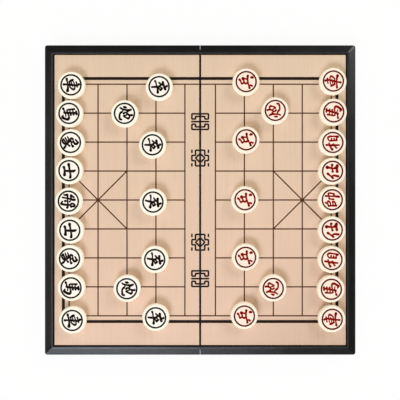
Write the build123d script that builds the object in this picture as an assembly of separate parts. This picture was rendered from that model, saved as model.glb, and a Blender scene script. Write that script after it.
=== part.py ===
from build123d import *
import math
import os

# Folding magnetic xiangqi set, laid open with each piece on its starting point.
# The origin is the middle of the board on the table plane. X runs across the two halves, with
# the fold at X = 0, Y runs along the fold and Z points up. Lengths are millimetres.
# Everything is drawn for the right half, where X is positive, and mirrored for the left half.

# Case
board_side = 316.5
board_length = 315.4
case_height = 20.0
case_corner_radius = 2.5
wall = 2.0
deck_thickness = 2.0

# Sloped border of the case
frame_width = 9.15
crest_width = 1.5
crest_corner_radius = 1.0
shoulder_drop = 2.8
shoulder_radius = 1.2
crest_outer_radius = 3.0
crest_inner_radius = 0.4

# Layers let into the border
steel_thickness = 0.5
panel_thickness = 0.8
panel_sink = 1.2
panel_clearance = 1.3
lip_width = 0.75
lip_clearance = 0.15

# Fold and hinge
fold_gap = 0.3
hinge_edge_radius = 3.35
hinge_spacing = 190.0
link_width = 24.0
link_radius = 2.6
hinge_pin_radius = 1.0
hinge_cheek = 5.0
hinge_block_wall = 1.6
rail_extra = 1.7
part_clearance = 0.3
running_fit = 0.05

# Flip latch in the outer wall
latch_width = 30.0
latch_length = 9.0
latch_thickness = 1.6
latch_lip_height = 1.3
latch_lip_reach = 0.9
latch_pin_radius = 0.75
latch_pin_depth = 1.9
latch_pin_height = 4.5
latch_cheek = 3.0
latch_block_wall = 1.6

# Printed lines
point_pitch = 29.4
river_half_width = 15.5
line_width = 1.3
border_offset = 5.8
border_width = 3.1
print_depth = 0.15

# Playing pieces
piece_diameter = 27.5
piece_height = 9.5
piece_face_diameter = 26.7
piece_edge_radius = 0.5
ring_diameter = 19.9
ring_width = 1.6
ring_depth = 0.2
magnet_diameter = 8.0
magnet_thickness = 1.5
magnet_clearance = 0.05

# Where each kind stands: rows counted from the back row, files from the middle of the board
back_row = {"chariot": 4, "horse": 3, "elephant": 2, "advisor": 1, "general": 0}
cannon_row = 2
cannon_file = 3
soldier_row = 3
soldier_files = (4, 2, 0, -2, -4)
river_row = 4

# How far each piece stands off its point along X and Y, as shares of the distance between two
# points: a hand never sets them down exactly
black_offsets = {
    "chariot_1": (0.13, -0.08), "chariot_2": (0.17, -0.10),
    "horse_1": (0.06, -0.05), "horse_2": (0.13, 0.01),
    "elephant_1": (0.11, -0.04), "elephant_2": (0.08, 0.00),
    "advisor_1": (0.06, 0.00), "advisor_2": (0.09, -0.03),
    "general": (0.04, -0.04),
    "cannon_1": (-0.05, -0.05), "cannon_2": (0.03, -0.02),
    "soldier_1": (0.13, -0.14), "soldier_2": (-0.10, -0.12), "soldier_3": (-0.08, -0.07),
    "soldier_4": (-0.02, -0.03), "soldier_5": (0.01, -0.01),
}
red_offsets = {
    "chariot_1": (0.01, 0.05), "chariot_2": (-0.03, -0.06),
    "horse_1": (0.02, 0.00), "horse_2": (-0.06, -0.04),
    "elephant_1": (-0.01, -0.04), "elephant_2": (-0.04, -0.03),
    "advisor_1": (-0.02, -0.02), "advisor_2": (-0.03, -0.02),
    "general": (-0.03, 0.01),
    "cannon_1": (0.03, 0.05), "cannon_2": (-0.04, -0.01),
    "soldier_1": (0.04, 0.03), "soldier_2": (0.04, 0.05), "soldier_3": (0.00, 0.01),
    "soldier_4": (0.02, 0.05), "soldier_5": (-0.02, 0.05),
}

# Levels and edges that follow from the sizes above
outer_edge = board_side / 2
end_edge = board_length / 2
fold_face = fold_gap / 2
board_level = case_height - panel_sink
steel_level = board_level - panel_thickness
deck_level = steel_level - steel_thickness
hollow_depth = deck_level - deck_thickness
recess_edge = outer_edge - frame_width
recess_end = end_edge - frame_width
recess_start = fold_face + lip_width
panel_start = recess_start + lip_clearance
panel_edge = recess_edge - panel_clearance
panel_end = recess_end - panel_clearance

# Hinge pins sit one edge radius in from the fold face and up from the rim, so the rounded fold
# edges roll round each other and the rims end up one fold gap apart when the case is shut.
pin_x = fold_face + hinge_edge_radius
pin_z = hinge_edge_radius
notch_reach = link_radius + part_clearance
notch_half_length = link_width / 2 + part_clearance
hinge_places = (-hinge_spacing / 2, hinge_spacing / 2)

# Latch distances below are depths measured inwards from the outer wall
latch_pin_x = outer_edge - latch_pin_depth
knuckle_radius = latch_pin_depth - part_clearance
tip_depth = latch_pin_depth + latch_thickness / 2 + latch_lip_reach
tip_sweep = math.hypot(latch_length, tip_depth - latch_pin_depth)
latch_pocket_depth = latch_pin_depth + knuckle_radius + part_clearance
latch_pocket_top = latch_pin_height + tip_sweep + part_clearance
latch_half_pocket = latch_width / 2 + part_clearance
ledge_depth = latch_pin_depth + latch_thickness / 2 + part_clearance
keeper_depth = tip_depth + part_clearance
keeper_top = tip_sweep - latch_pin_height - fold_gap + part_clearance
ledge_height = latch_length - latch_lip_height - latch_pin_height - fold_gap - part_clearance


def block(x_range, y_range, z_range):
    """A box between two values on each axis."""
    lows, highs = zip(x_range, y_range, z_range)
    size = [high - low for low, high in zip(lows, highs)]
    middle = [(high + low) / 2 for low, high in zip(lows, highs)]
    return Pos(*middle) * Box(*size)


def rod_along_y(x, z, y_range, radius):
    """A cylinder lying along Y."""
    low, high = y_range
    return Pos(x, (low + high) / 2, z) * Rot(90, 0, 0) * Cylinder(radius, high - low)


def left(shape):
    """The same shape for the left half."""
    return mirror(shape, about=Plane.YZ)


def case_envelope():
    """Outside of the right half: upright walls, sloped border and the rounded fold edge."""
    shoulder = case_height - shoulder_drop
    slope_reach = 2 * (frame_width - crest_width)
    foot = RectangleRounded(board_side, board_length, case_corner_radius)
    slope_foot = Pos(0, 0, shoulder) * foot
    crest = RectangleRounded(board_side - slope_reach, board_length - slope_reach,
                             crest_corner_radius)
    crest = Pos(0, 0, case_height) * crest
    full = extrude(foot, shoulder) + loft([slope_foot, crest], ruled=True)
    shoulder_edges = [edge for edge in full.edges() if abs(edge.center().Z - shoulder) < fold_gap
                      and abs(edge.tangent_at(0.5).Z) < 0.1]
    full = fillet(shoulder_edges, shoulder_radius)
    crest_edges = full.faces().sort_by(Axis.Z)[-1].edges()
    full = fillet(crest_edges, crest_outer_radius)
    half = full & block((fold_face, board_side), (-board_side, board_side), (0, case_height))
    fold_edge = half.edges().filter_by(Axis.Y).group_by(Axis.Z)[0].sort_by(Axis.X)[0]
    return fillet(fold_edge, hinge_edge_radius)


def case_solid_regions(latch_block_depth, latch_block_top):
    """Stretches of the half that stay solid: hinge blocks, the fold rail and the latch block."""
    block_end = pin_x + notch_reach + hinge_block_wall
    block_top = pin_z + notch_reach + hinge_block_wall
    reach = notch_half_length + hinge_cheek
    regions = [block((0, pin_x + rail_extra), (-end_edge, end_edge), (0, pin_z))]
    for place in hinge_places:
        regions.append(block((0, block_end), (place - reach, place + reach), (0, block_top)))
    latch_reach = latch_half_pocket + latch_cheek
    regions.append(block((outer_edge - latch_block_depth, outer_edge), (-latch_reach, latch_reach),
                         (0, latch_block_top)))
    return regions


def case_body(latch_block_depth, latch_block_top):
    """The right half without its latch features."""
    inner_end = end_edge - wall
    hollow = block((fold_face + wall, outer_edge - wall), (-inner_end, inner_end),
                   (-wall, hollow_depth))
    for region in case_solid_regions(latch_block_depth, latch_block_top):
        hollow -= region
    shell = case_envelope() - hollow
    shell -= block((recess_start, recess_edge), (-recess_end, recess_end),
                   (deck_level, case_height))
    shell -= block((0, recess_start), (-recess_end, recess_end), (board_level, case_height))
    rim_edges = [edge for edge in shell.edges() if abs(edge.center().Z - case_height) < fold_gap
                 and (abs(abs(edge.center().Y) - recess_end) < fold_gap / 2
                      or abs(edge.center().X - recess_edge) < fold_gap / 2)]
    shell = fillet(rim_edges, crest_inner_radius)
    notch_end = pin_x + notch_reach
    notch_top = pin_z + notch_reach
    for place in hinge_places:
        notch = (place - notch_half_length, place + notch_half_length)
        shell -= block((-wall, notch_end), notch, (-wall, notch_top))
        shell -= rod_along_y(pin_x, pin_z, hinge_pin_span(place), hinge_pin_radius)
    return shell


def hinge_pin_span(place):
    """Both ends of a hinge pin along Y: it runs through both cheeks of its notch."""
    reach = notch_half_length + hinge_cheek
    return (place - reach, place + reach)


def latch_half():
    """The half that carries the flip latch, still on the right-hand side."""
    shell = case_body(latch_pocket_depth + latch_block_wall, latch_pocket_top + latch_block_wall)
    pocket = (-latch_half_pocket, latch_half_pocket)
    shell -= block((outer_edge - latch_pocket_depth, board_side), pocket, (-wall, latch_pocket_top))
    shell -= rod_along_y(latch_pin_x, latch_pin_height, latch_pin_span(), latch_pin_radius)
    return shell


def latch_pin_span():
    """Both ends of the latch pin along Y."""
    reach = latch_half_pocket + latch_cheek
    return (-reach, reach)


def keeper_half():
    """The half whose recess takes the latch when the case is shut."""
    shell = case_body(keeper_depth + latch_block_wall, keeper_top + latch_block_wall)
    pocket = (-latch_half_pocket, latch_half_pocket)
    shell -= block((outer_edge - ledge_depth, board_side), pocket, (-wall, keeper_top))
    shell -= block((outer_edge - keeper_depth, board_side), pocket, (ledge_height, keeper_top))
    return shell


def latch_flap():
    """Knuckle, plate and hooked lip, folded up flat in its pocket."""
    width = (-latch_width / 2, latch_width / 2)
    flap_top = latch_pin_height + latch_length
    half_plate = latch_thickness / 2
    plate_x = (latch_pin_x - half_plate, latch_pin_x + half_plate)
    lip_x = (latch_pin_x - half_plate, latch_pin_x + half_plate + latch_lip_reach)
    flap = rod_along_y(latch_pin_x, latch_pin_height, width, knuckle_radius)
    flap += block(plate_x, width, (latch_pin_height, flap_top))
    flap += block(lip_x, width, (flap_top - latch_lip_height, flap_top))
    return flap - rod_along_y(latch_pin_x, latch_pin_height, width, latch_pin_radius + running_fit)


def hinge_link(place):
    """A flat-sided link with a round end about each of its two pins."""
    half = link_width / 2
    span = (place - half, place + half)
    link = block((-pin_x, pin_x), span, (pin_z - link_radius, pin_z + link_radius))
    for x in (-pin_x, pin_x):
        link += rod_along_y(x, pin_z, span, link_radius)
    for x in (-pin_x, pin_x):
        link -= rod_along_y(x, pin_z, span, hinge_pin_radius + running_fit)
    return link


def hinge_pins():
    """The two pins of the right half."""
    return [rod_along_y(pin_x, pin_z, hinge_pin_span(place), hinge_pin_radius)
            for place in hinge_places]


def sheet(levels):
    """A plate that fills the recess, less its clearance, between two levels."""
    return block((panel_start, panel_edge), (-panel_end, panel_end), levels)


def line_box(start, end, width, levels):
    """A straight printed line from start to end, square at both ends."""
    (x0, y0), (x1, y1) = start, end
    length = math.hypot(x1 - x0, y1 - y0) + width
    angle = math.degrees(math.atan2(y1 - y0, x1 - x0))
    low, high = levels
    middle = Pos((x0 + x1) / 2, (y0 + y1) / 2, (low + high) / 2)
    return middle * Rot(0, 0, angle) * Box(length, width, high - low)


def grid_print():
    """Grid, palace cross and border of the right half, as an ink layer let into the panel."""
    levels = (board_level - print_depth, board_level)
    rows = [row_x(row) for row in range(river_row + 1)]
    files = [file * point_pitch for file in range(-4, 5)]
    grid = [line_box((x, files[0]), (x, files[-1]), line_width, levels) for x in rows]
    for y in files:
        outermost = y in (files[0], files[-1])
        grid.append(line_box((0 if outermost else rows[-1], y), (rows[0], y), line_width, levels))
    palace_x = (row_x(0), row_x(2))
    for side in (-point_pitch, point_pitch):
        grid.append(line_box((palace_x[0], side), (palace_x[1], -side), line_width, levels))
    far_x = rows[0] + border_offset
    far_y = files[-1] + border_offset
    border = [line_box((far_x, -far_y), (far_x, far_y), border_width, levels)]
    for y in (-far_y, far_y):
        border.append(line_box((0, y), (far_x, y), border_width, levels))
    lines = Part() + grid + border
    return lines & sheet(levels)


def row_x(row):
    """Distance from the fold to a row of points."""
    return river_half_width + (river_row - row) * point_pitch


def playing_piece(x, y):
    """A drum with a bulged side, a ring engraved in its face and a magnet in its base."""
    face = piece_face_diameter / 2
    side = ThreePointArc((face, 0), (piece_diameter / 2, piece_height / 2), (face, piece_height))
    outline = Polyline((face, piece_height), (0, piece_height), (0, 0), (face, 0)) + side
    drum = revolve(Plane.XZ * make_face(outline), Axis.Z)
    rims = [edge for edge in drum.edges().filter_by(GeomType.CIRCLE)
            if edge.radius > ring_diameter / 2]
    drum = fillet(rims, piece_edge_radius)
    ring_low = piece_height - ring_depth
    ring = Cylinder((ring_diameter + ring_width) / 2, ring_depth) - Cylinder(
        (ring_diameter - ring_width) / 2, ring_depth)
    drum -= Pos(0, 0, ring_low + ring_depth / 2) * ring
    pocket = Cylinder(magnet_diameter / 2 + magnet_clearance, magnet_thickness)
    magnet = Cylinder(magnet_diameter / 2, magnet_thickness)
    drum -= Pos(0, 0, magnet_thickness / 2) * pocket
    place = Pos(x, y, board_level)
    return [place * drum, place * Pos(0, 0, magnet_thickness / 2) * magnet]


def starting_points():
    """Name, row and file of every piece of one side, counted from the +Y end."""
    points = {}
    for kind, file in back_row.items():
        if file == 0:
            points[kind] = (0, 0)
        else:
            points[kind + "_1"] = (0, file)
            points[kind + "_2"] = (0, -file)
    points["cannon_1"] = (cannon_row, cannon_file)
    points["cannon_2"] = (cannon_row, -cannon_file)
    for number, file in enumerate(soldier_files, 1):
        points[f"soldier_{number}"] = (soldier_row, file)
    return points


def army(colour, side, offsets):
    """All sixteen pieces of one colour, on the left (-1) or right (1) half."""
    pieces = {}
    for name, (row, file) in starting_points().items():
        away_x, away_y = offsets[name]
        x = side * row_x(row) + away_x * point_pitch
        y = (file + away_y) * point_pitch
        pieces[f"{colour}_{name}"] = playing_piece(x, y)
    return pieces


def write(name, shapes):
    """One STEP file of one or more solids."""
    node = Compound(children=[solid for shape in shapes for solid in shape.solids()])
    export_step(node, os.path.join("parts", name + ".step"))


def main():
    os.makedirs("parts", exist_ok=True)
    steel = sheet((deck_level, steel_level))
    ink = grid_print()
    panel = sheet((steel_level, board_level)) - ink
    nodes = {
        "left_case_shell": [left(latch_half())],
        "right_case_shell": [keeper_half()],
        "left_steel_sheet": [left(steel)],
        "right_steel_sheet": [steel],
        "left_board_panel": [left(panel)],
        "right_board_panel": [panel],
        "left_grid_print": [left(ink)],
        "right_grid_print": [ink],
        "hinge_links": [hinge_link(place) for place in hinge_places],
        "left_hinge_pins": [left(pin) for pin in hinge_pins()],
        "right_hinge_pins": hinge_pins(),
        "latch_flap": [left(latch_flap())],
        "latch_pin": [left(rod_along_y(latch_pin_x, latch_pin_height, latch_pin_span(),
                                       latch_pin_radius))],
    }
    nodes.update(army("black", -1, black_offsets))
    nodes.update(army("red", 1, red_offsets))
    for name, shapes in nodes.items():
        write(name, shapes)
    print(len(nodes), "nodes written")


main()
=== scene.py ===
import math

import bpy
import numpy as np
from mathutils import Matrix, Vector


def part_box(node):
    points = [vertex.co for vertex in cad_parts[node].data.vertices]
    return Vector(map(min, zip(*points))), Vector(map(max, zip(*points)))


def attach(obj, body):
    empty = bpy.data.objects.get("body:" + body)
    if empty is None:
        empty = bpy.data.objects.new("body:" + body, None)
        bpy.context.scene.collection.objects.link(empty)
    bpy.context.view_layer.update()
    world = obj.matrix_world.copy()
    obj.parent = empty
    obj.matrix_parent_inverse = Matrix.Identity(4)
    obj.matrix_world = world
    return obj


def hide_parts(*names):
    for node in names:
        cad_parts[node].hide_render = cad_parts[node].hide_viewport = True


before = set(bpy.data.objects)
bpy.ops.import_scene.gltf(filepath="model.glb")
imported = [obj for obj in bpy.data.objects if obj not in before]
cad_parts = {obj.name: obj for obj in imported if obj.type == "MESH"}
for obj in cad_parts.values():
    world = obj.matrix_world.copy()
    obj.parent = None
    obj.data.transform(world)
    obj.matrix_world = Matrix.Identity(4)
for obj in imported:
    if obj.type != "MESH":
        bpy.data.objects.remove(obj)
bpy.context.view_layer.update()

mm = 0.001
print("frame loaded:", len(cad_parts), "nodes")


# one output socket of a node tree; sums on it add Math nodes
class Wire:
    def __init__(self, graph, socket):
        self.graph = graph
        self.socket = socket

    def math(self, operation, first, second):
        return self.graph.node("ShaderNodeMath", {"operation": operation}, {0: first, 1: second})

    def __add__(self, other):
        return self.math("ADD", self, other)

    def __radd__(self, other):
        return self.math("ADD", other, self)

    def __sub__(self, other):
        return self.math("SUBTRACT", self, other)

    def __rsub__(self, other):
        return self.math("SUBTRACT", other, self)

    def __mul__(self, other):
        return self.math("MULTIPLY", self, other)

    def __rmul__(self, other):
        return self.math("MULTIPLY", other, self)

    def atLeast(self, other):
        return self.math("MAXIMUM", self, other)


# the node tree of a material or of the world
class Graph:
    def __init__(self, tree):
        self.tree = tree

    def feed(self, socket, value):
        if isinstance(value, Wire):
            self.tree.links.new(value.socket, socket)
        else:
            socket.default_value = value

    # adds a node: its settings first, then the values or wires of its inputs
    def node(self, kind, settings=None, inputs=None, output=0):
        node = self.tree.nodes.new(kind)
        for name, value in (settings or {}).items():
            setattr(node, name, value)
        for name, value in (inputs or {}).items():
            self.feed(node.inputs[name], value)
        return Wire(self, node.outputs[output])

    def mixColour(self, factor, first, second):
        return self.node("ShaderNodeMix", {"data_type": "RGBA"},
                         {0: factor, 6: first, 7: second}, 2)

    # a number carried from one range to another, smooth at both ends
    def ease(self, value, low, high, toLow=0.0, toHigh=1.0):
        return self.node("ShaderNodeMapRange", {"interpolation_type": "SMOOTHSTEP"},
                         {0: value, 1: low, 2: high, 3: toLow, 4: toHigh})

    def objectPoint(self):
        return self.node("ShaderNodeTexCoord", output="Object")

    # one of the object's own coordinates, in metres
    def axis(self, letter):
        return self.node("ShaderNodeSeparateXYZ", {}, {0: self.objectPoint()}, letter)

    # a number without its sign
    def size(self, value):
        return self.node("ShaderNodeMath", {"operation": "ABSOLUTE"}, {0: value})

    # noise on object coordinates, stretched by a scale for each axis, per metre
    def noise(self, perMetre, detail=2.0, roughness=0.5):
        point = self.node("ShaderNodeMapping", {},
                          {"Vector": self.objectPoint(), "Scale": perMetre})
        return self.node("ShaderNodeTexNoise", {}, {"Vector": point, "Scale": 1.0, "Detail": detail,
                                                    "Roughness": roughness})

    def bump(self, height, distance):
        return self.node("ShaderNodeBump", {}, {"Strength": 1.0, "Distance": distance,
                                                "Height": height})

    # 1 on rays of one kind and 0 on the others
    def ray(self, kind):
        return self.node("ShaderNodeLightPath", output=kind)

    # 1 on rays that a glossy or clear surface sends on
    def mirrored(self):
        return self.ray("Is Glossy Ray").atLeast(self.ray("Is Transmission Ray"))


# a new material; the constants go straight onto the shader's own sockets
def newFinish(name, constants):
    material = bpy.data.materials.new(name)
    material.use_nodes = True
    graph = Graph(material.node_tree)
    shader = material.node_tree.nodes["Principled BSDF"]
    for socket, value in constants.items():
        shader.inputs[socket].default_value = value
    return material, graph, shader


def colour(red, green, blue):
    return (red, green, blue, 1.0)


# moulded black ABS with a fine spark-eroded grain and faint handling marks. The crest round the
# board, from the recess to a little over a millimetre out from it, is painted paler: a painted
# highlight, patchy with the handling marks.
def blackPlastic():
    look = {"deep": colour(0.0010, 0.0010, 0.0014), "worn": colour(0.0034, 0.0032, 0.0034),
            "crestHighlight": colour(0.0220, 0.0225, 0.0240), "highlightLeast": 0.6,
            "recessX": 0.1491, "recessY": 0.14855,
            "crestEnd": 0.0018, "crestFull": 0.00108, "crestLow": 0.0190, "crestHigh": 0.0195,
            "grainPerMetre": (5200, 5200, 5200), "grainDepth": 0.000012,
            "smudgePerMetre": (38, 38, 38), "roughLow": 0.27, "roughHigh": 0.36}
    material, graph, shader = newFinish("casePlastic", {"Specular IOR Level": 0.5})
    grain = graph.noise(look["grainPerMetre"], 2.0)
    smudge = graph.noise(look["smudgePerMetre"], 4.0, 0.6)
    outX, outY = graph.size(graph.axis("X")), graph.size(graph.axis("Y"))
    out = (outX - look["recessX"]).atLeast(outY - look["recessY"])
    # painted highlight along the crest, patchy with the handling marks
    crest = (graph.ease(out, look["crestEnd"], look["crestFull"])
             * graph.ease(graph.axis("Z"), look["crestLow"], look["crestHigh"])
             * graph.ease(smudge, 0.1, 0.6, look["highlightLeast"], 1.0))
    base = graph.mixColour(smudge, look["deep"], look["worn"])
    graph.feed(shader.inputs["Base Color"], graph.mixColour(crest, base, look["crestHighlight"]))
    graph.feed(shader.inputs["Roughness"],
               graph.ease(smudge, 0.3, 0.7, look["roughLow"], look["roughHigh"]))
    graph.feed(shader.inputs["Normal"], graph.bump(grain, look["grainDepth"]))
    return material


# satin printed card: warm tan with a faint grain running along the fold
def printedCard():
    look = {"base": colour(0.755, 0.588, 0.440), "streak": colour(0.725, 0.536, 0.390),
            "rosy": colour(0.788, 0.562, 0.443), "deep": colour(0.590, 0.412, 0.314),
            "rosyReach": 0.13, "rosyShare": 0.75, "cornerShadeStart": 0.12, "cornerShadeEnd": 0.34,
            "grainPerMetre": (620, 26, 620), "grainStrength": 0.55,
            "cloudPerMetre": (9, 9, 9), "fibrePerMetre": (2600, 2600, 2600),
            "fibreDepth": 0.000006, "roughLow": 0.52, "roughHigh": 0.62}
    material, graph, shader = newFinish("printedCard", {"Specular IOR Level": 0.3})
    streak = graph.ease(graph.noise(look["grainPerMetre"], 3.0, 0.6), 0.35, 0.75)
    cloud = graph.ease(graph.noise(look["cloudPerMetre"], 2.0), 0.3, 0.7)
    across, along = graph.axis("X"), graph.axis("Y")
    # the card turns slightly pinker towards -Y, a painted tint of the light falling there, and
    # painted shade darkens the corner at +X -Y
    rosy = graph.ease(along, look["rosyReach"], -look["rosyReach"]) * look["rosyShare"]
    ground = graph.mixColour(rosy + cloud * (1 - look["rosyShare"]), look["base"], look["rosy"])
    # painted shade: the corner at +X -Y turns to the deeper colour
    corner = graph.ease(across - along, look["cornerShadeStart"], look["cornerShadeEnd"])
    ground = graph.mixColour(corner, ground, look["deep"])
    graph.feed(shader.inputs["Base Color"],
               graph.mixColour(streak * look["grainStrength"], ground, look["streak"]))
    fibre = graph.noise(look["fibrePerMetre"], 2.0)
    graph.feed(shader.inputs["Roughness"],
               graph.ease(fibre, 0.3, 0.7, look["roughLow"], look["roughHigh"]))
    graph.feed(shader.inputs["Normal"], graph.bump(fibre, look["fibreDepth"]))
    return material


# printed ink: dark, a little uneven, with a dull sheen. Lines further out than the border's X and
# Y are printed in an ink of their own.
def printInk(name, dark, light, border=None):
    look = {"patchPerMetre": (900, 900, 900), "borderBlend": 0.0002,
            "roughLow": 0.44, "roughHigh": 0.58}
    material, graph, shader = newFinish(name, {"Specular IOR Level": 0.12})
    patch = graph.ease(graph.noise(look["patchPerMetre"], 3.0, 0.6), 0.35, 0.7)
    ink = graph.mixColour(patch, dark, light)
    if border:
        outX, outY = (graph.size(graph.axis(axis)) - border[axis] for axis in "XY")
        isBorder = graph.ease(outX.atLeast(outY), -look["borderBlend"], look["borderBlend"])
        ink = graph.mixColour(isBorder, ink, border["ink"])
    graph.feed(shader.inputs["Base Color"], ink)
    graph.feed(shader.inputs["Roughness"],
               graph.ease(patch, 0.0, 1.0, look["roughLow"], look["roughHigh"]))
    return material


# steel with a fine grain, drawn out into lines along the axis of the smallest count per metre,
# and a faint cloudy film
def rolledSteel(name, linesPerMetre, tone=0.42):
    look = {"paler": 0.15, "cloudPerMetre": (40, 40, 40), "metalLeast": 0.9,
            "roughLow": 0.28, "roughHigh": 0.44, "lineDepth": 0.000008}
    material, graph, shader = newFinish(name, {})
    line = graph.noise(linesPerMetre, 3.0, 0.6)
    cloud = graph.noise(look["cloudPerMetre"], 3.0)
    pale = tone + look["paler"]
    graph.feed(shader.inputs["Metallic"], graph.ease(cloud, 0.0, 0.2, look["metalLeast"], 1.0))
    graph.feed(shader.inputs["Base Color"],
               graph.mixColour(line, colour(tone, tone, tone * 1.02),
                               colour(pale + 0.01, pale, pale - 0.01)))
    graph.feed(shader.inputs["Roughness"],
               graph.ease(line, 0.2, 0.8, look["roughLow"], look["roughHigh"]))
    graph.feed(shader.inputs["Normal"], graph.bump(line, look["lineDepth"]))
    return material


# cream plastic of the pieces: whiter inside the ring, yellower on the rim, and over the rounded
# edge and down the side yellower still and a touch darker, the darkening painted shade.
# The second number of the piece's UV map is the distance from its axis over its radius.
def pieceCream(name, disc, rim, side):
    look = {"ringAt": 0.724, "ringBlend": 0.03, "edgeShadeStart": 0.93, "edgeShadeEnd": 1.01,
            "mottle": colour(0.90, 0.80, 0.62), "mottleStrength": 0.10,
            "mottlePerMetre": (420, 420, 420), "pitPerMetre": (1500, 1500, 1500),
            "pitDepth": 0.000007, "roughLow": 0.36, "roughHigh": 0.46}
    material, graph, shader = newFinish(name, {"Specular IOR Level": 0.4})
    uvMap = graph.node("ShaderNodeUVMap", {"uv_map": "pieceMap"})
    away = graph.node("ShaderNodeSeparateXYZ", {}, {0: uvMap}, "Y")
    mottle = graph.noise(look["mottlePerMetre"], 3.0, 0.6)
    pastRing = graph.ease(away, look["ringAt"] - look["ringBlend"],
                          look["ringAt"] + look["ringBlend"])
    cream = graph.mixColour(pastRing, disc, rim)
    # the rounded edge and side: a yellower cream, a touch darker as painted shade
    cream = graph.mixColour(graph.ease(away, look["edgeShadeStart"], look["edgeShadeEnd"]), cream, side)
    spots = graph.ease(mottle, 0.45, 0.75) * look["mottleStrength"]
    graph.feed(shader.inputs["Base Color"], graph.mixColour(spots, cream, look["mottle"]))
    graph.feed(shader.inputs["Roughness"],
               graph.ease(mottle, 0.3, 0.7, look["roughLow"], look["roughHigh"]))
    graph.feed(shader.inputs["Normal"],
               graph.bump(graph.noise(look["pitPerMetre"], 2.0), look["pitDepth"]))
    return material


# paint of a mark: fresh along the middle of a stroke, deeper towards both ends and brighter
# along its sides, where the paint is thin. The mark's UV map runs from 0 to 1 round each stroke,
# starting at one side, and from 0 to 1 along it.
def markPaint(name, middle, endTone, patchColour, thin):
    look = {"endsFrom": 0.10, "endsFull": 0.75, "thinStart": 0.35, "thinEnd": 0.85,
            "patchPerMetre": (520, 520, 520), "patchStrength": 0.45,
            "roughLow": 0.34, "roughHigh": 0.46}
    material, graph, shader = newFinish(name, {"Specular IOR Level": 0.06})
    uvMap = graph.node("ShaderNodeUVMap", {"uv_map": "markMap"})
    around, along = (graph.node("ShaderNodeSeparateXYZ", {}, {0: uvMap}, axis) for axis in "XY")
    fromMiddle = along * 2.0 - 1.0
    toEnd = graph.ease(fromMiddle * fromMiddle, look["endsFrom"], look["endsFull"])
    cosine = graph.node("ShaderNodeMath", {"operation": "COSINE"}, {0: around * (2 * math.pi)})
    toSide = graph.ease(graph.size(cosine), look["thinStart"], look["thinEnd"])
    patch = graph.ease(graph.noise(look["patchPerMetre"], 2.0), 0.45, 0.7)
    paint = graph.mixColour(patch * look["patchStrength"],
                            graph.mixColour(toEnd, middle, endTone), patchColour)
    graph.feed(shader.inputs["Base Color"], graph.mixColour(toSide, paint, thin))
    graph.feed(shader.inputs["Roughness"],
               graph.ease(patch, 0.0, 1.0, look["roughLow"], look["roughHigh"]))
    return material


finishes = {
    "plastic": blackPlastic(),
    "card": printedCard(),
    "gridInk": printInk("gridInk", colour(0.064, 0.018, 0.005), colour(0.098, 0.033, 0.011),
                        {"X": 0.1360, "Y": 0.1205, "ink": colour(0.018, 0.008, 0.005)}),
    "fretInk": printInk("fretInk", colour(0.010, 0.006, 0.005), colour(0.020, 0.011, 0.008)),
    "sheetSteel": rolledSteel("sheetSteel", (30, 2400, 30)),
    "pinSteel": rolledSteel("pinSteel", (3000, 60, 3000), 0.50),
    "magnet": rolledSteel("magnet", (1800, 1800, 1800), 0.36),
    "blackCream": pieceCream("blackCream", colour(0.983, 0.928, 0.872),
                             colour(0.990, 0.950, 0.835), colour(0.975, 0.925, 0.800)),
    "redCream": pieceCream("redCream", colour(0.982, 0.826, 0.716),
                           colour(0.965, 0.885, 0.750), colour(0.940, 0.875, 0.735)),
    "blackPaint": markPaint("blackPaint", colour(0.006, 0.003, 0.002),
                            colour(0.005, 0.002, 0.001), colour(0.010, 0.005, 0.003),
                            colour(0.026, 0.008, 0.005)),
    "redPaint": markPaint("redPaint", colour(0.175, 0.005, 0.003),
                          colour(0.032, 0.002, 0.001), colour(0.070, 0.003, 0.001),
                          colour(0.720, 0.014, 0.006)),
    "blackRing": markPaint("blackRing", colour(0.006, 0.004, 0.001),
                           colour(0.006, 0.004, 0.001), colour(0.010, 0.007, 0.001),
                           colour(0.034, 0.022, 0.004)),
    "redRing": markPaint("redRing", colour(0.034, 0.001, 0.001),
                         colour(0.034, 0.001, 0.001), colour(0.060, 0.003, 0.001),
                         colour(0.360, 0.012, 0.004)),
}
print("finishes made:", len(finishes))


# the case and board keep their own shapes and get a finish each
nodeFinishes = {
    "plastic": ("left_case_shell", "right_case_shell", "hinge_links", "latch_flap"),
    "card": ("left_board_panel", "right_board_panel"),
    "gridInk": ("left_grid_print", "right_grid_print"),
    "sheetSteel": ("left_steel_sheet", "right_steel_sheet"),
    "pinSteel": ("left_hinge_pins", "right_hinge_pins", "latch_pin"),
}
for finish, names in nodeFinishes.items():
    for name in names:
        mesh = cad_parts[name].data
        mesh.materials.clear()
        mesh.materials.append(finishes[finish])
print("case and board finished")


# a new object of the scene, with its mesh, lamp or camera
def addObject(name, data):
    item = bpy.data.objects.new(name, data)
    bpy.context.scene.collection.objects.link(item)
    return item


# the map's two numbers, side by side, for all corners of a grid at once
def pair(u, v):
    return np.stack(np.broadcast_arrays(u, v), -1)


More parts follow.
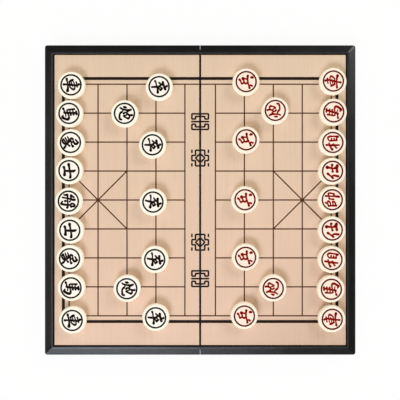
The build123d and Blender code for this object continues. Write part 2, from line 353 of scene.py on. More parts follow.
# joins several surfaces into one object. Each is a grid of points, rows by columns, closed round
# its columns, with a pole at both ends: point (row, column) meets its right and upper
# neighbours in a four-sided face, and the two end rows fan out to single points. Its map is
# (number for each column and one more, number for each row), and it has a material slot.
def newPiece(name, surfaces, mapName):
    points, corners, loops, counts, slots = [], [], [], [], []
    base = 0
    for grid, (u, v), slot in surfaces:
        rows, columns = grid.shape[:2]
        index = base + 1 + np.arange((rows - 2) * columns).reshape(rows - 2, columns)
        after = np.roll(index, -1, 1)
        first, last = base, base + 1 + (rows - 2) * columns
        inner = grid[1:-1].reshape(-1, 3)
        points.append(np.vstack([grid[:1, 0], inner, grid[-1:, 0]]))
        quads = np.stack([index[:-1], index[1:], after[1:], after[:-1]], -1).reshape(-1, 4)
        startFan = np.stack([np.full(columns, first), index[0], after[0]], -1)
        endFan = np.stack([index[-1], np.full(columns, last), after[-1]], -1)
        # the map's own numbers at the same corners
        u0, u1, low, high = u[:-1], u[1:], v[1:-2, None], v[2:-1, None]
        quadUv = np.stack([pair(u0, low), pair(u0, high), pair(u1, high), pair(u1, low)], 2)
        startUv = np.stack([pair(u0, v[0]), pair(u0, v[1]), pair(u1, v[1])], 1)
        endUv = np.stack([pair(u0, v[-2]), pair(u0, v[-1]), pair(u1, v[-2])], 1)
        corners += [startFan.ravel(), quads.ravel(), endFan.ravel()]
        loops += [startUv.reshape(-1, 2), quadUv.reshape(-1, 2), endUv.reshape(-1, 2)]
        counts += [np.full(columns, 3), np.full(len(quads), 4), np.full(columns, 3)]
        slots.append(np.full(len(quads) + 2 * columns, slot))
        base = last + 1
    points = np.vstack(points).astype(np.float32)
    corners = np.concatenate(corners).astype(np.int32)
    counts = np.concatenate(counts).astype(np.int32)
    mesh = bpy.data.meshes.new(name)
    mesh.vertices.add(len(points))
    mesh.vertices.foreach_set("co", points.ravel())
    mesh.loops.add(len(corners))
    mesh.loops.foreach_set("vertex_index", corners)
    mesh.polygons.add(len(counts))
    mesh.polygons.foreach_set("loop_start", np.concatenate([[0], np.cumsum(counts)[:-1]]))
    mesh.polygons.foreach_set("material_index", np.concatenate(slots).astype(np.int32))
    mesh.update(calc_edges=True)
    uvLayer = mesh.uv_layers.new(name=mapName)
    uvLayer.data.foreach_set("uv", np.vstack(loops).astype(np.float32).ravel())
    mesh.validate()
    mesh.shade_smooth()
    return addObject(name, mesh)


# turns a profile of (radius, height) points round the vertical axis through a centre:
# x = centre + radius * cos(angle), y = centre + radius * sin(angle), z = height
def lathe(profile, centre, turns):
    angle = np.linspace(0, 2 * np.pi, turns, endpoint=False)
    radius, height = profile[:, 0, None], profile[:, 1, None]
    x = centre[0] + radius * np.cos(angle)
    y = centre[1] + radius * np.sin(angle)
    return np.stack([x, y, np.broadcast_to(height, x.shape)], -1)


# an arc of points: centre + radius * (cos, sin), from one angle to another in degrees
def arc(centre, radius, start, end, steps):
    angle = np.radians(np.linspace(start, end, steps))
    return np.stack([centre[0] + radius * np.cos(angle), centre[1] + radius * np.sin(angle)], -1)


# the two waves of a circle squeezed towards a square: cos and sin keep their sign, and their size
# is raised to a power under 1
def squarish(angle, power):
    return [np.sign(wave) * np.abs(wave) ** power for wave in (np.cos(angle), np.sin(angle))]


# a playing piece, in millimetres. The face lies a hair below the full height, the disc inside the
# ring a little deeper, and the ring is painted in a groove with a rounded lip.
drum = {"radius": 13.75, "height": 9.5, "faceRadius": 12.85, "edgeRadius": 0.5,
        "faceSink": 0.06, "discSink": 0.05,
        "ringRadius": 9.95, "ringWidth": {"black": 1.72, "red": 1.64}, "ringDepth": 0.16,
        "ringSink": 0.06, "ringGap": 0.02, "ringDome": 0.05,
        "lipWidth": 0.12, "lipDrop": 0.03, "grooveDraft": 0.06,
        "pocketRadius": 4.05, "pocketBevel": 0.15, "pocketSpare": 0.01,
        "magnetRadius": 4.0, "magnetHeight": 1.5, "magnetBevel": 0.15, "magnetSink": 0.04,
        "turns": 96, "roundingSteps": 6, "sideSteps": 14}


# half section of a drum from the middle of its face, over the rounded edge, down the bulged side
# to the middle of its base, which has a pocket for the magnet. The side is the arc through the
# face radius at both ends and the full radius half way up: arc radius = (half height^2 +
# bulge^2) / (2 * bulge).
def drumProfile(ringWidth):
    top = drum["height"] - drum["faceSink"]
    half, bulge = drum["height"] / 2, drum["radius"] - drum["faceRadius"]
    sideRadius = (half * half + bulge * bulge) / (2 * bulge)
    sideCentre = drum["radius"] - sideRadius
    # the edge rounding touches the face plane and the side arc from inside
    edge = drum["edgeRadius"]
    edgeHeight = top - half - edge
    reach = math.sqrt((sideRadius - edge) ** 2 - edgeHeight ** 2)
    edgeTilt = math.degrees(math.atan2(edgeHeight, reach))
    edgeX = sideCentre + reach
    inner = drum["ringRadius"] - ringWidth / 2
    outer = drum["ringRadius"] + ringWidth / 2
    disc, floor = top - drum["discSink"], top - drum["ringDepth"]
    lip, drop, draft = drum["lipWidth"], drum["lipDrop"], drum["grooveDraft"]
    # plain circles between the shaped ones divide the flats evenly, so that they shade flat
    nearEdge = edgeX - 0.3
    face = np.array([(0, disc), (3, disc), (6, disc), (inner - 0.5, disc), (inner - lip, disc),
                     (inner, disc - drop), (inner + draft, floor), (outer - draft, floor),
                     (outer, top - drop), (outer + lip, top), (nearEdge, top)])
    rounding = arc((edgeX, top - edge), edge, 90, edgeTilt, drum["roundingSteps"])
    side = arc((sideCentre, half), sideRadius, edgeTilt, -edgeTilt, drum["sideSteps"])[1:-1]
    footRounding = arc((edgeX, half - edgeHeight), edge, -edgeTilt, -90, drum["roundingSteps"])
    low = half - edgeHeight - edge
    pocket, bevel = drum["pocketRadius"], drum["pocketBevel"]
    ceiling = drum["magnetHeight"] + drum["pocketSpare"]
    base = np.array([(nearEdge, low), (pocket + 1.2, low), (pocket + bevel, low),
                     (pocket, low + bevel), (pocket, ceiling - 0.05), (pocket - 0.1, ceiling),
                     (1.5, ceiling), (0, ceiling)])
    return np.vstack([face, rounding, side, footRounding, base])


# half section of the magnet: a flat disc with bevelled rims, a hair inside its pocket
def magnetProfile():
    radius, height = drum["magnetRadius"], drum["magnetHeight"]
    bevel, sink = drum["magnetBevel"], drum["magnetSink"]
    return np.array([(0, height), (radius - bevel, height), (radius, height - bevel),
                     (radius, bevel + sink), (radius - bevel, sink), (0, sink)])


# the drum and its magnet, turned round the axis through the centre and lifted to a level
def drumSurfaces(centre, level, ringWidth):
    turns = drum["turns"]
    around = np.linspace(0, 1, turns + 1)
    surfaces = []
    for profile, slot in ((drumProfile(ringWidth), 0), (magnetProfile(), 1)):
        grid = lathe(profile * mm + np.array([0, level]), centre, turns)
        # down the face and side the map's second number is the radius share, then stays at 1
        share = profile[:, 0] / drum["radius"]
        widest = int(np.argmax(share))
        share = np.where(np.arange(len(share)) > widest, 1.0, share)
        surfaces.append((grid, (around, share), slot))
    return surfaces


# how a line of paint is laid: its oval section has a number of sides and a power that squares it,
# both ends close in a few steps, and the line is never narrower than the least width. Where it is
# narrower than a share of its greatest width, it is lower too.
brush = {"sides": 8, "power": 0.5, "capSteps": 5, "leastWidth": 0.2, "fullFrom": 0.35}

# Marks are drawn on a grid whose middle is (18, 18), with the ring 15.3 steps out and y down.
# A stroke is a row of (x, y, width) where the brush passes, and the weight widens all of them.
markGrid = {"middle": 18.0, "ring": 15.3, "domeHeight": 0.055, "steps": 26,
            "weight": {"black": 1.52, "red": 1.43}}

marks = {
    "chariot": (
        ((17.2, 5.9, 2.7), (18.8, 9.5, 2.3), (18.3, 15, 2.3), (17.7, 21.5, 2.8), (17.3, 26, 1.9),
         (17.3, 29.0, 2.7)),
        ((13.9, 10.0, 1.9), (17, 9.2, 1.5), (20.9, 8.4, 2.0)),
        ((10.3, 15.3, 2.3), (11.2, 17, 2.9), (13.5, 20.9, 1.9)),
        ((12.8, 14.2, 1.3), (18, 12.6, 1.4), (23.2, 12.2, 1.8), (25.0, 14, 2.5), (23.7, 17, 1.9),
         (21.2, 19.8, 1.5)),
        ((14.8, 17.2, 1.4), (17.5, 16.2, 1.2), (20.8, 15.2, 1.2)),
        ((13.8, 20.4, 1.4), (17.5, 19.5, 1.4), (21.0, 19.2, 1.2)),
        ((8.9, 24.6, 2.7), (13, 23.9, 1.8), (18, 22.9, 1.7), (23, 22.7, 2.3), (26.9, 23.3, 3.3)),
    ),
    "horse": (
        ((11.6, 10.0, 2.3), (12.0, 15, 1.9), (12.4, 19.3, 1.9), (13.8, 21.2, 1.8)),
        ((14.9, 7.0, 2.0), (17.2, 6.6, 2.4), (19.2, 6.2, 2.6)),
        ((17.5, 7.2, 2.4), (17.4, 14, 2.3), (17.3, 20, 2.5), (17.2, 22.6, 2.2)),
        ((14.0, 12.1, 1.5), (17, 11.4, 1.5), (20.0, 10.8, 2.2)),
        ((14.0, 16.6, 1.5), (17, 15.8, 1.5), (20.2, 15.0, 2.5)),
        ((14.0, 20.6, 1.6), (17, 20.3, 1.6), (21, 18.5, 1.7), (24.4, 17.8, 2.4), (27.1, 19.5, 3.0),
         (26.6, 23.5, 2.7), (24.6, 27.6, 2.9)),
        ((24.0, 28.2, 2.6), (21.4, 27.1, 1.7)),
        ((19.2, 22.8, 1.3), (22.4, 22.9, 1.5)),
        ((16.8, 24.6, 3.0), (13.6, 25.4, 1.6), (10.8, 26.8, 2.7)),
    ),
    "elephant": (
        ((18.1, 6.2, 1.9), (15.9, 8.4, 1.9), (13.7, 10.2, 1.7)),
        ((18.0, 5.9, 2.0), (20.1, 8.2, 2.5), (20.3, 10.8, 2.5), (17.6, 12.8, 2.1),
         (14.6, 13.8, 1.6)),
        ((12.6, 14.4, 2.2), (11.7, 16.8, 2.2), (13.7, 18.5, 2.0), (16.2, 18.7, 2.2)),
        ((14.8, 17.2, 1.6), (18.5, 16.8, 1.8), (21.8, 15.8, 1.7), (23.9, 14.3, 2.9)),
        ((18.1, 12.6, 1.8), (17.1, 17.0, 1.8)),
        ((23.2, 19.4, 2.3), (22.0, 21.0, 1.8), (19.6, 22.5, 1.6)),
        ((16.4, 19.4, 2.0), (19.2, 22.2, 2.0), (20.7, 24.2, 2.3), (19.3, 27.8, 2.4),
         (16.3, 30.3, 1.9), (13.6, 29.6, 1.6)),
        ((15.0, 20.5, 1.6), (11.8, 21.2, 1.6), (9.2, 22.6, 1.3)),
        ((16.8, 22.2, 1.7), (13.4, 24.6, 1.7), (10.6, 26.2, 1.4)),
        ((18.2, 24.4, 1.6), (15.2, 27.3, 1.8), (13.2, 28.9, 2.3)),
        ((20.3, 24.6, 1.5), (23.2, 25.2, 2.2), (26.1, 27.2, 2.6)),
    ),
    "advisor": (
        ((17.6, 8.7, 1.9), (18.7, 11.2, 2.9), (18.7, 16.5, 2.6), (18.5, 24.0, 2.4)),
        ((8.6, 18.4, 3.2), (12.5, 17.7, 2.2), (18.5, 16.7, 2.0), (24.5, 15.6, 2.2),
         (28.4, 16.0, 2.8)),
        ((12.6, 25.8, 2.9), (15.5, 25.0, 2.2), (20.5, 24.6, 2.4), (24.4, 24.8, 3.4)),
    ),
    "general": (
        ((12.1, 9.6, 2.0), (10.7, 11.6, 2.2), (9.7, 13.7, 3.1)),
        ((15.8, 8.4, 2.7), (15.8, 12, 2.4), (14.1, 17, 2.0), (13.3, 21, 1.8), (12.3, 26.6, 1.9)),
        ((9.9, 14.4, 2.0), (15.0, 13.2, 1.8)),
        ((8.2, 19.8, 2.8), (11.5, 19.1, 1.8), (17, 19.1, 1.7), (22.5, 18.8, 2.0), (26, 18.9, 2.1),
         (27.7, 19.7, 2.7)),
        ((8.8, 20.6, 1.8), (8.5, 22.8, 2.2), (8.2, 24.7, 1.7)),
        ((22.0, 13.9, 2.1), (21.9, 10.6, 2.1), (24.1, 8.4, 2.1), (25.8, 9.1, 2.6),
         (25.8, 11.8, 1.8)),
        ((22.2, 14.2, 1.7), (23.8, 14.8, 1.6), (26.1, 13.6, 2.9)),
        ((23.7, 14.9, 2.0), (23.7, 20, 2.2), (23.1, 25, 2.4), (22.2, 28.7, 2.5)),
        ((21.3, 28.9, 2.4), (18.4, 27.1, 1.6)),
        ((18.0, 14.8, 1.6), (18.7, 16.2, 1.8)),
        ((17.4, 20.4, 1.5), (17.9, 22.9, 2.6)),
    ),
    "cannon": (
        ((12.3, 8.0, 2.1), (13.2, 10.7, 2.6), (13, 14.2, 2.4), (12.2, 18.2, 2.0), (11.2, 21.7, 2.0),
         (9.4, 24.4, 1.8)),
        ((13.8, 12.0, 1.7), (15.1, 13.2, 2.5)),
        ((9.2, 15.2, 1.7), (8.5, 17.4, 2.6), (8.2, 18.6, 2.4)),
        ((20.8, 6.4, 2.6), (21, 8.8, 2.3), (20, 11.7, 2.2), (18.4, 14.0, 1.7)),
        ((21.0, 10.8, 1.4), (24.0, 10.3, 1.9), (25.8, 12.0, 2.6), (25, 14.7, 1.9),
         (23.3, 17.7, 2.0), (22.0, 18.6, 2.6)),
        ((18.0, 13.9, 1.6), (19.9, 13.9, 1.6), (20.9, 16.2, 1.7), (21.8, 18.1, 1.9)),
        ((17.3, 14.4, 1.9), (16.9, 17.2, 2.1), (18.1, 19.1, 2.3)),
        ((12.4, 19.8, 1.6), (14.9, 21.2, 1.8), (16.5, 22.8, 2.5), (18.5, 25.0, 2.0),
         (22.5, 25.6, 2.0), (26.4, 25.2, 2.4), (27.7, 22.9, 2.2)),
    ),
    "blackSoldier": (
        ((17.7, 5.9, 2.4), (18.7, 7.8, 2.4), (19.1, 9.2, 2.1)),
        ((11.6, 11.9, 2.7), (14.8, 11.2, 2.2), (18.7, 10.2, 2.5), (22.4, 8.8, 2.8)),
        ((16.2, 11.8, 2.0), (14.2, 15.2, 2.0), (11.8, 18.0, 1.7)),
        ((14.4, 14.8, 1.5), (17.0, 16.6, 2.5), (19.7, 20.2, 2.2)),
        ((20.8, 13.6, 2.1), (23.2, 16.0, 2.6)),
        ((20.2, 14.0, 1.5), (18.2, 17.6, 1.6)),
        ((23.0, 16.5, 1.7), (19.6, 19.9, 1.6)),
        ((8.9, 23.8, 2.2), (11.3, 22.8, 1.8), (15.7, 21.9, 1.4), (20.7, 20.9, 1.6),
         (24.2, 20.5, 2.4), (26.7, 20.5, 2.9)),
        ((18.0, 19.2, 2.2), (18.2, 24, 2.4), (18.1, 29.2, 2.0)),
    ),
    "minister": (
        ((14.1, 8.3, 2.6), (14.0, 10.9, 2.2), (13.6, 15.1, 2.4), (13.6, 20.1, 2.4),
         (13.8, 24, 2.2), (14.0, 27.2, 2.0)),
        ((7.4, 16.9, 3.0), (9.3, 15.4, 2.2), (12.8, 13.4, 1.9), (17.0, 12.1, 1.8)),
        ((12.8, 20.6, 1.8), (10.8, 22.1, 1.7), (9.8, 23.3, 2.5)),
        ((13.2, 16.0, 2.4), (15.4, 19.2, 2.0)),
        ((20.5, 13.4, 2.0), (20.6, 16.1, 2.1), (21.0, 21.1, 2.0), (21.3, 23.8, 2.3)),
        ((20.6, 12.6, 1.4), (22.8, 10.8, 1.8), (25.3, 10.5, 2.2), (27.1, 12.7, 2.4),
         (27.3, 17.1, 1.9), (27.3, 22.1, 2.0), (26.9, 25.6, 2.7)),
        ((21.3, 15.9, 1.6), (23.6, 15.9, 2.0)),
        ((21.1, 20.1, 1.6), (23.6, 19.9, 2.0)),
        ((21.6, 24.2, 2.0), (23.8, 23.4, 1.8), (26.4, 25.4, 2.0)),
    ),
    "guard": (
        ((14.0, 10.9, 3.1), (11.8, 13.6, 2.1), (9.3, 16.4, 2.1), (7.4, 18.5, 2.6)),
        ((10.0, 17.3, 1.8), (11.3, 20.1, 2.3), (10.7, 24.1, 2.7), (10.2, 26.6, 2.8)),
        ((23.8, 10.0, 4.1), (23.4, 13.1, 2.6), (22.3, 18.1, 2.1), (22.5, 24.4, 2.3)),
        ((17.5, 18.2, 2.8), (20.3, 17.7, 1.8), (24.3, 17.0, 1.8), (27.5, 17.3, 3.1)),
        ((17.6, 25.0, 3.3), (20.3, 24.8, 2.7), (23.3, 24.8, 3.0), (26.3, 25.2, 3.6)),
        ((22.9, 21.6, 2.5), (24.6, 23.9, 3.0)),
    ),
    "marshal": (
        ((13.6, 7.6, 2.0), (12.0, 9.6, 1.6)),
        ((8.5, 12.5, 2.5), (8.7, 16, 2.0), (8.7, 21, 2.2), (8.9, 24.2, 2.5)),
        ((8.8, 11.9, 1.8), (11.7, 11.1, 1.6), (14.8, 10.9, 2.0), (15.6, 12.3, 2.5),
         (13.7, 14.7, 1.8), (9.4, 15.6, 1.6)),
        ((9.8, 19.4, 1.4), (12.7, 18.9, 1.6), (14.8, 18.8, 2.5), (14.1, 21.9, 2.0),
         (9.8, 23.1, 1.8)),
        ((19.4, 13.4, 2.0), (19.0, 16, 1.8), (18.6, 19.8, 2.2)),
        ((19.4, 13.2, 1.8), (22.7, 12.9, 1.6), (27.0, 12.0, 2.2), (28.1, 13.6, 2.0),
         (27.6, 18, 1.9), (26.6, 20.9, 2.1), (23.9, 19.4, 1.5)),
        ((23.7, 8.0, 2.5), (23.5, 12, 1.8), (23.3, 18, 1.8), (23.2, 23, 2.4), (22.6, 28.2, 2.7)),
    ),
    "redSoldier": (
        ((19.8, 7.6, 2.9), (18.2, 9.4, 1.9), (15.8, 10.3, 1.8), (14.1, 11.7, 2.3)),
        ((14.2, 12.2, 2.0), (15.9, 14.4, 2.2), (17.4, 14.9, 1.8), (19.7, 13.8, 2.0),
         (22.0, 12.7, 3.8)),
        ((15.5, 15.6, 2.0), (15.0, 18, 2.4), (16.5, 20.6, 2.5)),
        ((22.4, 13.4, 2.8), (22.1, 16.5, 1.8), (22.4, 19.1, 2.3)),
        ((8.9, 24.0, 2.7), (11.7, 23.1, 2.0), (16.7, 20.9, 2.0), (22.2, 19.7, 2.2),
         (27.0, 19.5, 2.8)),
        ((11.2, 23.6, 1.5), (13.4, 25.2, 1.8), (12.3, 27.4, 2.4)),
        ((25.2, 25.3, 2.7), (25.5, 26.3, 3.2), (25.4, 27.3, 2.7)),
    ),
}


# a smooth line through the control points: each span blends four neighbours by the
# Catmull-Rom weights, and the samples crowd towards both ends
def brushLine(stroke, steps):
    control = np.array(stroke, float)
    padded = np.vstack([2 * control[0] - control[1], control, 2 * control[-1] - control[-2]])
    place = (1 - np.cos(np.linspace(0, np.pi, steps))) / 2 * (len(control) - 1)
    span = np.minimum(place.astype(int), len(control) - 2)
    t = (place - span)[:, None]
    a, b, c, d = (padded[span + k] for k in range(4))
    return 0.5 * (2 * b + (c - a) * t + (2 * a - 5 * b + 4 * c - d) * t ** 2
                  + (3 * b - a - 3 * c + d) * t ** 3)


# a drop of paint along a line of (x, y, width): the line is carried on by half a width at both
# ends, where the width closes like a half circle, and every section is a flattened, squarish
# oval, across * side + dome height * up
def paintTube(line, dome):
    middle, width = line[:, :2], np.maximum(line[:, 2], brush["leastWidth"])
    heading = np.gradient(middle, axis=0)
    heading /= np.linalg.norm(heading, axis=1, keepdims=True)
    caps = brush["capSteps"]
    swell = np.radians(np.linspace(0, 90, caps + 1))[:-1, None]
    startCap = middle[:1] - heading[:1] * width[0] / 2 * np.cos(swell)
    endCap = middle[-1:] + heading[-1:] * width[-1] / 2 * np.cos(swell[::-1])
    centre = np.vstack([startCap, middle, endCap])
    half = np.concatenate([width[0] / 2 * np.sin(swell[:, 0]), width / 2,
                           width[-1] / 2 * np.sin(swell[::-1, 0])])
    direction = np.vstack([np.repeat(heading[:1], caps, 0), heading,
                           np.repeat(heading[-1:], caps, 0)])
    across = np.stack([-direction[:, 1], direction[:, 0]], -1)
    # this way round the faces look out
    angle = np.linspace(0, -2 * np.pi, brush["sides"], endpoint=False)
    side, up = squarish(angle, brush["power"])
    rise = dome * np.minimum(half / (brush["fullFrom"] * half.max()), 1)
    flat = centre[:, None] + across[:, None] * (half[:, None] * side)[..., None]
    grid = np.concatenate([flat, (rise[:, None] * up)[..., None]], -1)
    along = np.concatenate([[0], np.cumsum(np.linalg.norm(np.diff(centre, axis=0), axis=1))])
    return grid, along / along[-1]


# places a flat drawing: turned by an angle, scaled, and set down at (x, y, z)
def setDown(grid, turn, scale, place):
    c, s = math.cos(turn), math.sin(turn)
    x = place[0] + scale * (c * grid[..., 0] - s * grid[..., 1])
    y = place[1] + scale * (s * grid[..., 0] + c * grid[..., 1])
    return np.stack([x, y, place[2] + mm * grid[..., 2]], -1)


# the strokes of a mark, one surface each, turned and set down on a drum's face
def markSurfaces(strokes, weight, turn, centre, level):
    scale = drum["ringRadius"] / markGrid["ring"] * mm
    around = np.linspace(0, 1, brush["sides"] + 1)
    surfaces = []
    for stroke in strokes:
        line = brushLine(stroke, markGrid["steps"])
        line = np.stack([line[:, 0] - markGrid["middle"], markGrid["middle"] - line[:, 1],
                         weight * line[:, 2]], -1)
        grid, along = paintTube(line, markGrid["domeHeight"])
        grid = setDown(grid, turn, scale, (*centre, level))
        surfaces.append((grid, (around, along), 0))
    return surfaces


# the painted ring fills its groove: a squarish oval carried round a circle, so that
# radius = ring radius + half width * side and z = level + dome height * up. It is closed round
# both ways: its columns run round the oval and its rows round the circle, ending where they
# start. Its map is a stroke's, halfway along it.
def addRing(name, centre, level, ringWidth):
    around = np.linspace(0, 2 * np.pi, drum["turns"], endpoint=False)[:, None]
    angle = np.linspace(0, 2 * np.pi, brush["sides"], endpoint=False)[None]
    side, up = squarish(angle, brush["power"])
    radius = (drum["ringRadius"] + (ringWidth / 2 - drum["ringGap"]) * side) * mm
    height = level + drum["ringDome"] * mm * up
    x, y = centre[0] + radius * np.cos(around), centre[1] + radius * np.sin(around)
    points = np.stack(np.broadcast_arrays(x, y, height), -1)
    rows, columns = points.shape[:2]
    index = np.arange(rows * columns).reshape(rows, columns)
    right, above = np.roll(index, -1, 1), np.roll(index, -1, 0)
    faces = np.stack([index, above, np.roll(above, -1, 1), right], -1).reshape(-1, 4)
    mesh = bpy.data.meshes.new(name)
    mesh.from_pydata(points.reshape(-1, 3), [], faces.tolist())
    u = (np.arange(columns)[:, None] + np.array([0, 0, 1, 1])) / columns
    uv = pair(u, np.full((rows, 1, 1), 0.5))
    mesh.uv_layers.new(name="markMap").data.foreach_set("uv", uv.astype(np.float32).ravel())
    mesh.shade_smooth()
    return addObject(name, mesh)


# what each kind carries, and how far each mark is turned out of true, in degrees
blackMarks = {"chariot": "chariot", "horse": "horse", "elephant": "elephant",
              "advisor": "advisor", "general": "general", "cannon": "cannon",
              "soldier": "blackSoldier"}
redMarks = {"chariot": "chariot", "horse": "horse", "elephant": "minister", "advisor": "guard",
            "general": "marshal", "cannon": "cannon", "soldier": "redSoldier"}
blackTurns = {"chariot_2": 2, "horse_2": -6, "elephant_2": -10, "cannon_2": 4,
              "soldier_1": 3, "soldier_3": -12, "soldier_4": -9, "soldier_5": -3}
redTurns = {"chariot_1": -7, "chariot_2": -2, "horse_1": -15, "horse_2": -8, "elephant_2": -8,
            "advisor_2": 6, "cannon_1": 11, "soldier_1": -6, "soldier_2": 6, "soldier_4": -2,
            "soldier_5": -9}


# gives each playing piece of one colour its drum, mark and ring. Its marks face one way, in
# degrees, and each is turned a little from it.
def dressArmy(colourName, kinds, turns, facing):
    count = 0
    for node in sorted(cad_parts):
        if not node.startswith(colourName + "_"):
            continue
        low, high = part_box(node)
        centre = ((low.x + high.x) / 2, (low.y + high.y) / 2)
        name = node[len(colourName) + 1:]
        ringWidth = drum["ringWidth"][colourName]
        body = newPiece(node + "_drum", drumSurfaces(centre, low.z, ringWidth), "pieceMap")
        body.data.materials.append(finishes[colourName + "Cream"])
        body.data.materials.append(finishes["magnet"])
        body.data.set_sharp_from_angle(angle=math.radians(50))
        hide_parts(node)
        discLevel = high.z - (drum["faceSink"] + drum["discSink"]) * mm
        turn = math.radians(facing + turns.get(name, 0))
        strokes, weight = marks[kinds[name.split("_")[0]]], markGrid["weight"][colourName]
        mark = newPiece(node + "_mark", markSurfaces(strokes, weight, turn, centre, discLevel),
                        "markMap")
        mark.data.materials.append(finishes[colourName + "Paint"])
        ringLevel = high.z - (drum["faceSink"] + drum["ringSink"]) * mm
        ring = addRing(node + "_ring", centre, ringLevel, ringWidth)
        ring.data.materials.append(finishes[colourName + "Ring"])
        for piece in (body, mark, ring):
            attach(piece, node)
        count += 1
    print(colourName, "pieces made:", count)


dressArmy("black", blackMarks, blackTurns, -90)
dressArmy("red", redMarks, redTurns, 90)


# Each ornament is drawn for the right half on a grid of three columns and seven rows about its
# middle, and mirrored for the left half. Sizes and places are in millimetres.
fret = {"columnStart": 1.0, "columnStep": 3.7, "rowStep": 2.65, "width": 1.75, "corner": 0.8,
        "domeHeight": 0.03, "straightSteps": 4, "bendSteps": 6,
        "places": (79.6, 42.6, -42.9, -79.9), "designs": ("key", "lattice", "lattice", "key")}
fretDesigns = {
    "key": (((0, 3), (2, 3), (2, 1), (1, 1), (1, 2), (0, 2)),
            ((0, -3), (2, -3), (2, -1), (1, -1), (1, -2), (0, -2)), ((0, 0), (2, 0))),
    "lattice": (((0, 3), (1, 3), (1, 1), (2, 1), (2, -1), (1, -1), (1, -3), (0, -3)),
                ((0, 1.4), (1, 0), (0, -1.4)), ((2, 3), (2, 2.2)), ((2, -3), (2, -2.2))),
}


# a line of straight runs with its corners rounded: each corner is a quadratic curve from a point
# before it to a point after it, (1-t)^2 before + 2t(1-t) corner + t^2 after
def fretLine(points, corner):
    points = np.array(points, float)
    if len(points) == 2:
        share = np.linspace(0, 1, fret["straightSteps"])[:, None]
        return points[0] + (points[1] - points[0]) * share
    runs = np.diff(points, axis=0)
    runs /= np.linalg.norm(runs, axis=1, keepdims=True)
    before = points[1:-1] - corner * runs[:-1]
    after = points[1:-1] + corner * runs[1:]
    t = np.linspace(0, 1, fret["bendSteps"])[None, :, None]
    bends = ((1 - t) ** 2 * before[:, None] + 2 * t * (1 - t) * points[1:-1, None]
             + t ** 2 * after[:, None])
    return np.vstack([points[:1], bends.reshape(-1, 2), points[-1:]])


# the lines of one ornament, one surface each, on the half of the board that the sign gives
def fretSurfaces(design, sideSign, middleY, level):
    surfaces = []
    around = np.linspace(0, 1, brush["sides"] + 1)
    for path in fretDesigns[design]:
        points = np.array(path, float)
        x = fret["columnStart"] + fret["columnStep"] * points[:, 0]
        y = fret["rowStep"] * points[:, 1]
        line = fretLine(np.stack([x, y], -1), fret["corner"])
        line = np.column_stack([line, np.full(len(line), fret["width"])])
        line[:, 0] *= sideSign
        grid, along = paintTube(line, fret["domeHeight"])
        grid = setDown(grid, 0, mm, (0, middleY * mm, level))
        surfaces.append((grid, (around, along), 0))
    return surfaces


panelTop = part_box("left_board_panel")[1].z
for side, sign in (("left", -1), ("right", 1)):
    for number, (place, design) in enumerate(zip(fret["places"], fret["designs"]), 1):
        ornament = newPiece(f"{side}_fret_{number}", fretSurfaces(design, sign, place, panelTop),
                            "fretMap")
        ornament.data.materials.append(finishes["fretInk"])
        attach(ornament, side + "_case")
print("fret ornaments made")


# floor, lamps and camera, in metres and watts
studio = {
    "floorReach": 6.0, "floorSteps": 9, "floorTone": 0.94, "floorWhite": 0.94,
    "clearReach": 0.03,
    "keyAt": (-0.78, -2.14, 2.53), "keySize": (1.6, 1.2), "keyPower": 64,
    "keyTint": (0.955, 1.013, 1.145),
    "fillAt": (1.36, 1.14, 1.29), "fillSize": (1.2, 0.8), "fillPower": 16.5,
    "fillTint": (1.0, 0.99, 1.00),
    "sideAt": (-1.53, -0.14, 1.84), "sideSize": (1.2, 0.8), "sidePower": 6.5,
    "sideTint": (1.0, 0.98, 0.97),
    "around": (0.288, 0.242, 0.138), "mirrored": (0.150, 0.155, 0.145),
    "low": (2.85, 2.82, 2.82), "lowTop": 0.4, "sweepTop": 0.16,
    "cameraX": -0.00016, "cameraHeight": 0.641, "lens": 56.8, "sensor": 36.0,
}


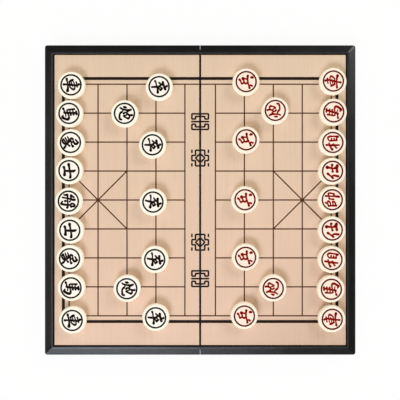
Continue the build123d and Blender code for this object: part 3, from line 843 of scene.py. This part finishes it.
# flat floor, a grid of points in the plane z = 0, on which the case stands. Camera, gloss and glass
# see it nearly white, and the rest of it is lit as a pale card and keeps the shadow.
def makeFloor():
    reach, steps = studio["floorReach"], studio["floorSteps"]
    x, y = np.meshgrid(*[np.linspace(-reach, reach, steps)] * 2)
    points = np.stack([x, y, np.zeros_like(x)], -1).reshape(-1, 3)
    index = np.arange(steps * steps).reshape(steps, steps)
    faces = np.stack([index[:-1, :-1], index[:-1, 1:], index[1:, 1:], index[1:, :-1]], -1)
    mesh = bpy.data.meshes.new("floor")
    mesh.from_pydata(points, [], faces.reshape(-1, 4).tolist())
    floor = addObject("floor", mesh)
    material, graph, shader = newFinish("floorWhite", {
        "Base Color": colour(*[studio["floorTone"]] * 3), "Roughness": 0.9,
        "Specular IOR Level": 0.1})
    pale = graph.node("ShaderNodeEmission", {}, {"Color": colour(1, 1, 1), "Strength": 1.0})
    # right under the case no light reaches the floor, so no white shows through the fold
    clear = graph.node("ShaderNodeAmbientOcclusion", {"samples": 8},
                       {"Distance": studio["clearReach"]}, "AO")
    seen = graph.ray("Is Camera Ray").atLeast(graph.mirrored())
    share = seen * graph.ease(clear, 0.25, 0.5, 0.0, studio["floorWhite"])
    lit = Wire(graph, shader.outputs[0])
    mixed = graph.node("ShaderNodeMixShader", {}, {0: share, 1: lit, 2: pale})
    outlet = material.node_tree.nodes["Material Output"]
    graph.feed(outlet.inputs["Surface"], mixed)
    mesh.materials.append(material)


# a soft lamp that faces the middle of the board
def makeLamp(name, place, size, power, tint):
    light = bpy.data.lights.new(name, "AREA")
    light.shape = "RECTANGLE"
    light.size, light.size_y = size
    light.energy = power
    light.color = tint
    lamp = addObject(name, light)
    lamp.location = place
    away = np.array(place) / np.linalg.norm(place)
    lamp.rotation_euler = (math.acos(away[2]), 0, math.atan2(away[1], away[0]) + math.pi / 2)
    lamp.visible_camera = False


# the surroundings are dim but for soft light low down all round; the camera sees white, and gloss
# and glass see the pale sweep as far up as it would stand behind the board
def makeWorld():
    world = bpy.data.worlds.new("studio")
    bpy.context.scene.world = world
    world.use_nodes = True
    graph = Graph(world.node_tree)
    direction = graph.node("ShaderNodeTexCoord", output="Generated")
    height = graph.node("ShaderNodeSeparateXYZ", {}, {0: direction}, "Z")
    sweep = graph.ease(height, studio["sweepTop"], studio["sweepTop"] * 0.5)
    mirrored = graph.mirrored()
    low = graph.ease(height, studio["lowTop"], 0.0)
    light = graph.mixColour(low, colour(*studio["around"]), colour(*studio["low"]))
    light = graph.mixColour(mirrored, light, colour(*studio["mirrored"]))
    white = graph.ray("Is Camera Ray").atLeast(mirrored * sweep)
    background = world.node_tree.nodes["Background"]
    graph.feed(background.inputs["Color"], graph.mixColour(white, light, colour(1, 1, 1)))


# the camera looks straight down on the board
def makeCamera():
    camera = bpy.data.cameras.new("camera")
    camera.lens = studio["lens"]
    camera.sensor_width = studio["sensor"]
    eye = addObject("camera", camera)
    eye.location = (studio["cameraX"], 0.0, panelTop + studio["cameraHeight"])
    bpy.context.scene.camera = eye


makeFloor()
for lamp in ("key", "fill", "side"):
    makeLamp(lamp + "Lamp", studio[lamp + "At"], studio[lamp + "Size"], studio[lamp + "Power"],
             studio[lamp + "Tint"])
makeWorld()
makeCamera()
bpy.context.scene.view_settings.view_transform = "Standard"
print("studio set")
